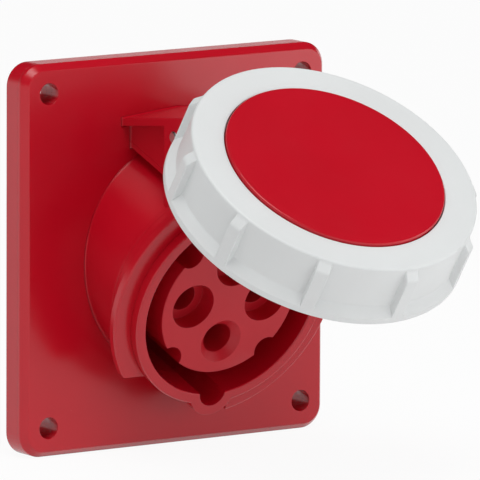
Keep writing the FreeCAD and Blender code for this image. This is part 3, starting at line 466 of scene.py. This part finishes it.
# %% Grip ring
RING_INNER = 35.05
RING_OUTER = 37.45
RING_LIP = 39.4
RING_LOW = 18.25
RING_TOP = 34.7
LIP_HEIGHT = 1.8
FLARE_HEIGHT = 2.7
RING_MOUTH = 29.0
RING_THROAT = 28.2
LEDGE_LOW = 31.8
LEDGE_HIGH = 33.0
RIBS = 10
RIB_WIDTH = 3.5
RIB_PHASE = math.radians(93.4)
RIB_START = 0.7
RIB_SLOPE = 2.2
CAM_REACH = 30.2
CAM_HEIGHT = 1.4
CAM_MIDDLE = math.radians(55.0)
CAM_HALF = math.radians(7.0)
FLANK = 0.16
FOOT_ROUND = 0.3
TOP_ROUND = 0.6
LOW_ROUND = 0.35
INNER_ROUND = 0.3
CAM_EDGE = 0.24
EVEN_ANGLES = 240


def smooth_step(t):
    t = np.clip(t, 0, 1)
    return t * t * (3 - 2 * t)


def blend_max(a, b, width):
    """The larger of a and b, with a round of this width where they meet."""
    near = np.maximum(width - np.abs(a - b), 0) / width
    return np.maximum(a, b) + near * near * width / 4


def repeat_distance(angle, phase, count):
    """Angle to the nearest of count places spread evenly from phase."""
    step = 2 * math.pi / count
    return np.abs((angle - phase + step / 2) % step - step / 2)


def ring_angles():
    """Even steps, with more beside the flanks of the ribs and cams."""
    beside = np.array([-0.6, -0.3, -0.2, -0.12, -0.06, 0, 0.06, 0.12, 0.2, 0.3, 0.6]) / RING_OUTER
    flanks = np.add.outer(np.array([-1, 1]) * RIB_WIDTH / 2 / RING_OUTER, beside).ravel()
    ribs = np.add.outer(RIB_PHASE + np.arange(RIBS) * 2 * math.pi / RIBS, flanks).ravel()
    cam_flanks = np.add.outer(np.array([-1, 1]) * CAM_HALF, beside).ravel()
    cams = np.add.outer(CAM_MIDDLE + np.array([0, math.pi]), cam_flanks).ravel()
    even = np.linspace(0, 2 * math.pi, EVEN_ANGLES, endpoint=False)
    return np.unique(np.round(np.concatenate([even, ribs, cams]) % (2 * math.pi), 6))


def grip_ring():
    """The outline turned round the lid's axis, with its radius r changed by the angle: outside it
    is the larger of r and the rib, inside it falls by the cam's reach."""
    flare_low = RING_LOW + LIP_HEIGHT
    line = outline([
        (RING_INNER, RING_LOW, INNER_ROUND), (RING_LIP, RING_LOW, LOW_ROUND), (RING_LIP, flare_low, 0.2),
        (RING_OUTER, flare_low + FLARE_HEIGHT, 0.8), (RING_OUTER, RING_TOP, TOP_ROUND),
        (RING_MOUTH, RING_TOP, 0.15), (RING_MOUTH, LEDGE_HIGH, 0.1), (RING_THROAT, LEDGE_HIGH, 0.2),
        (RING_THROAT, LEDGE_LOW, 0.2), (RING_INNER, LEDGE_LOW, 0.8)], gap=0.5)
    angles = ring_angles()
    r = np.broadcast_to(line[:, 0], (len(angles), len(line)))
    s = np.broadcast_to(line[:, 1], r.shape)
    rib_side = repeat_distance(angles, RIB_PHASE, RIBS) * RING_OUTER
    on_rib = smooth_step((RIB_WIDTH / 2 + FLANK - rib_side) / (2 * FLANK))[:, None]
    rise = (RING_LIP - RING_OUTER) * np.clip((RING_TOP - RIB_START - s) / RIB_SLOPE, 0, 1)
    ribbed = np.minimum(blend_max(r, RING_OUTER + rise * on_rib, FOOT_ROUND), RING_LIP)
    outside = (r > RING_OUTER - 0.05) & (s > RING_LOW + LOW_ROUND + 0.01) & (s < RING_TOP - TOP_ROUND)
    r = np.where(outside & (rise * on_rib > 0.01), ribbed, r)
    cam_side = repeat_distance(angles, CAM_MIDDLE, 2)
    on_cam = smooth_step((CAM_HALF - cam_side) * RING_OUTER / 0.3 + 0.5)[:, None]
    under = smooth_step((RING_LOW + CAM_HEIGHT + CAM_EDGE / 2 - s) / CAM_EDGE)
    inside = r < RING_INNER + INNER_ROUND + 0.02
    r = np.where(inside, r - (RING_INNER - CAM_REACH) * on_cam * under, r)
    return shell(lid.place(np.cos(angles)[:, None] * r, np.sin(angles)[:, None] * r, s))


piece("grip_ring", [grip_ring()], "ring", grey_plastic,
      ["ring_face", "ring_wall_left", "ring_wall_right", "ring_lip"])

# %% [markdown]
# The lid is one moulding: a disc that the ring turns round, a flange under it that holds the
# seal, and an arm with a barrel for the hinge. The disc stands a little proud of the ring, and
# its rounded rim is the bright line that parts red from grey.

# %% Lid cover
DISC_R = 28.7
DISC_TOP = 35.5
DISC_LIP = 33.3
NECK_R = 27.9
COVER_R = 33.4
COVER_TOP = 31.5
COVER_UNDER = 28.9
COVER_FLOOR = 29.1
COVER_LIP = 27.9
COLLAR_OUT = 23.7
COLLAR_IN = 21.8
COLLAR_LOW = 25.8
ARM_INNER = 29.2
ARM_THICK = 3.4
ARM_HALF_WIDTH = 11.0
ARM_TAIL = 8.5
ARM_ROUND = 0.6
ARM_SLICES = 13
WEB_TOP = 13.3
WEB_INSET = 2.4
UNDER_COVER = 0.65
BARREL_R = 3.7
BARREL_BORE_R = 1.56


def lid_disc():
    line = outline([
        (0, COVER_FLOOR, 0), (COLLAR_IN, COVER_FLOOR, 0.5), (COLLAR_IN, COLLAR_LOW, 0.3),
        (COLLAR_OUT, COLLAR_LOW, 0.5), (COLLAR_OUT, COVER_UNDER, 0.1), (ARM_INNER, COVER_UNDER, 0.1),
        (ARM_INNER, COVER_LIP, 0.3), (COVER_R, COVER_LIP, 0.4), (COVER_R, COVER_TOP, 0.5),
        (NECK_R, COVER_TOP, 0.3), (NECK_R, DISC_LIP, 0.2), (DISC_R, DISC_LIP, 0.2),
        (DISC_R, DISC_TOP, 0.55), (0, DISC_TOP, 0)], closed=False, gap=3.0)
    return shell(turn_round(line, lid), wrap_columns=False)


def hinge_barrel():
    """A tube along x: its ring of wall points runs round the pin."""
    half = ARM_HALF_WIDTH
    line = outline([(BARREL_BORE_R, -half, 0.15), (BARREL_R, -half, 0.35), (BARREL_R, half, 0.35),
                    (BARREL_BORE_R, half, 0.15)])
    angles = np.linspace(0, 2 * math.pi, 72, endpoint=False)
    u = HINGE_HEIGHT + np.cos(angles)[:, None] * line[:, 0]
    s = HINGE_REACH + np.sin(angles)[:, None] * line[:, 0]
    return shell(lid.place(np.broadcast_to(line[:, 1], u.shape), u, s))


def lid_arm():
    """An outline in u and s carried across x. The arm's walls follow the collar, so their u falls
    as sqrt(R * R - x * x); the last slices draw in by the corner radius."""
    outer = ARM_INNER + ARM_THICK
    web_end = HINGE_HEIGHT - WEB_INSET
    arm_top = COVER_TOP - UNDER_COVER
    line = outline([(ARM_INNER, ARM_TAIL, 0.6), (web_end, ARM_TAIL, 0.1), (web_end, WEB_TOP, 0.1),
                    (outer, WEB_TOP, 1.6), (outer, arm_top, 0.1), (ARM_INNER, arm_top, 0.1)], gap=1.2)
    middle = line.mean(0)
    ease = np.linspace(0, 0.5 * math.pi, 5)
    ends = ARM_HALF_WIDTH - ARM_ROUND * (1 - np.sin(ease))
    x = np.concatenate([-ends[::-1], np.linspace(-ends[0], ends[0], ARM_SLICES)[1:-1], ends])
    draw = ARM_ROUND * (1 - np.cos(ease))
    inset = np.concatenate([draw[::-1], np.zeros(ARM_SLICES - 2), draw])[:, None]
    reach = np.maximum(np.abs(line - middle), 1.0).max(0)
    u = line[:, 0] - inset * (line[:, 0] - middle[0]) / reach[0]
    s = line[:, 1] - inset * (line[:, 1] - middle[1]) / reach[1]
    blend = np.clip((web_end - u) / (web_end - outer), 0, 1)
    fall = (ARM_INNER - np.sqrt(ARM_INNER ** 2 - x ** 2))[:, None] * blend
    return shell(lid.place(x[:, None], u - fall, s), wrap_rows=False, caps=True)


piece("lid", [lid_disc(), hinge_barrel(), lid_arm()], "lid", red_plastic,
      ["lid_cover", "lid_spigot", "lid_arm"])

# %% [markdown]
# The camera looks at the socket from the left and a little above, from far away, as in a
# catalogue picture, so its lens is long and parallel lines stay parallel.

# %% Camera
SENSOR = 36.0
LENS = 713.6
AZIMUTH = math.radians(-34.195)
ELEVATION = math.radians(8.741)
ROLL = math.radians(0.276)
DISTANCE = 2.4204
AIM_RIGHT = 0.020723
AIM_UP = 0.001294
FAR = 20.0

flat = math.cos(ELEVATION)
back = Vector((math.sin(AZIMUTH) * flat, -math.cos(AZIMUTH) * flat, math.sin(ELEVATION)))
level = Vector((math.cos(AZIMUTH), math.sin(AZIMUTH), 0))
upright = back.cross(level)
right = level * math.cos(ROLL) + upright * math.sin(ROLL)
up = upright * math.cos(ROLL) - level * math.sin(ROLL)
lens = bpy.data.cameras.new("camera")
lens.sensor_width = SENSOR
lens.lens = LENS
lens.clip_end = FAR
camera = bpy.data.objects.new("camera", lens)
turn = Matrix((right, up, back)).transposed()
stand = back * DISTANCE + right * AIM_RIGHT + up * AIM_UP
camera.matrix_world = Matrix.Translation(stand) @ turn.to_4x4()
bpy.context.scene.collection.objects.link(camera)
bpy.context.scene.camera = camera
print("camera at", [round(value, 3) for value in stand], "lens", LENS, "mm")

# %% [markdown]
# Light as in a light tent: white cloth all round lights every side, one soft box above on the left
# gives the grip ring its shape, a weak one lights the socket's mouth from the front, and a soft
# lamp on the right adds a pale sheen to the flange and the insert.
# The tent is open above, so what faces up mirrors a dark room: that is why the lid's disc shows
# its full red while the flange, which mirrors the cloth, looks paler.

# %% Floor, surround and lamps
FLOOR_GAP = 0.05 * MM
FLOOR_Z = cad_low.z - FLOOR_GAP
FLOOR_HALF = 3.0
PAPER_DEEP = (0.88, 0.88, 0.88, 1)
PAPER_LIGHT = (0.92, 0.92, 0.92, 1)
WHITE = (1, 1, 1, 1)
AMBIENT = 0.55
CLOTH = 1.0
DARK_ROOM = 0.0
CLOTH_TOP = 0.1
ROOM_FROM = 0.27
FLOOR_GLOW = 0.93


def ray_kinds(shade):
    """Light Path as three values, each 1 for its kind of ray: camera, glossy, transmission."""
    path = shade.tree.nodes.new("ShaderNodeLightPath")
    kinds = ("Camera", "Glossy", "Transmission")
    return [Shade(shade.tree, path.outputs[f"Is {kind} Ray"]) for kind in kinds]


def studio_world():
    """White to the camera and through glass, AMBIENT for light that lands on surfaces, and in
    reflections CLOTH up to the height CLOTH_TOP, falling to DARK_ROOM at ROOM_FROM."""
    made = bpy.data.worlds.new("surround")
    made.use_nodes = True
    tree = made.node_tree
    tree.nodes.clear()
    shade = Shade(tree)
    seen, mirrored, through = ray_kinds(shade)
    towards = shade.node("ShaderNodeNewGeometry", output=4)
    height = shade.node("ShaderNodeSeparateXYZ", output=2, Vector=towards) * -1.0
    above = height.between(CLOTH_TOP, ROOM_FROM)
    reflected = above * (DARK_ROOM - CLOTH) + (CLOTH - AMBIENT)
    strength = seen * (1 - AMBIENT) + mirrored * reflected + through * (1 - AMBIENT) + AMBIENT
    background = shade.node("ShaderNodeBackground", Color=WHITE, Strength=strength)
    out = tree.nodes.new("ShaderNodeOutputWorld")
    tree.links.new(background.socket, out.inputs[0])
    bpy.context.scene.world = made
    print("surround lights at", AMBIENT, "and mirrors", CLOTH, "up to height", CLOTH_TOP)


def lamp(name, place, aim, width, height, watts, mirrored=True):
    """An area lamp at a place, turned to face the aim; where mirrored is False no surface shows
    its reflection."""
    data = bpy.data.lights.new(name, "AREA")
    data.shape = "RECTANGLE"
    data.size = width
    data.size_y = height
    data.energy = watts
    made = bpy.data.objects.new(name, data)
    made.visible_glossy = mirrored
    facing = (Vector(place) - Vector(aim)).to_track_quat("Z", "Y").to_matrix().to_4x4()
    made.matrix_world = Matrix.Translation(place) @ facing
    bpy.context.scene.collection.objects.link(made)
    print(name, "lamp", watts, "W")


def studio_floor():
    """White paper: it shows FLOOR_GLOW of pure white and, for the rest, the light and the faint
    shadow that fall on it."""
    made, principled, shade, where = new_material("floor")
    tree = made.node_tree
    feed(principled, "Base Color", noise(shade, where, 3.0).mix(PAPER_DEEP, PAPER_LIGHT))
    feed(principled, "Roughness", 0.9)
    feed(principled, "Specular IOR Level", 0.1)
    seen, mirrored, through = ray_kinds(shade)
    white = (seen + mirrored + through) * FLOOR_GLOW
    glow = shade.node("ShaderNodeEmission", Color=WHITE, Strength=1.0)
    mixed = tree.nodes.new("ShaderNodeMixShader")
    tree.links.new(white.socket, mixed.inputs[0])
    tree.links.new(principled.outputs[0], mixed.inputs[1])
    tree.links.new(glow.socket, mixed.inputs[2])
    out = next(node for node in tree.nodes if node.type == "OUTPUT_MATERIAL")
    tree.links.new(mixed.outputs[0], out.inputs[0])
    corners = [(x * FLOOR_HALF, y * FLOOR_HALF, 0) for x, y in ((-1, -1), (1, -1), (1, 1), (-1, 1))]
    mesh = bpy.data.meshes.new("floor")
    mesh.from_pydata(corners, [], [(0, 1, 2, 3)])
    mesh.materials.append(made)
    floor = bpy.data.objects.new("floor", mesh)
    floor.location.z = FLOOR_Z
    bpy.context.scene.collection.objects.link(floor)
    print("floor at", round(FLOOR_Z, 4))


studio_world()
studio_floor()
lamp("overhead", (-0.18, -0.26, 0.66), (0, -0.04, 0), 0.4, 0.4, 2.2)
lamp("front", (0.08, -0.60, -0.06), (0, -0.03, 0), 0.3, 0.3, 0.6, mirrored=False)
lamp("right", (0.32, -0.30, -0.02), (0.05, -0.03, 0), 0.25, 0.4, 0.45)
bpy.context.scene.view_settings.view_transform = "Standard"
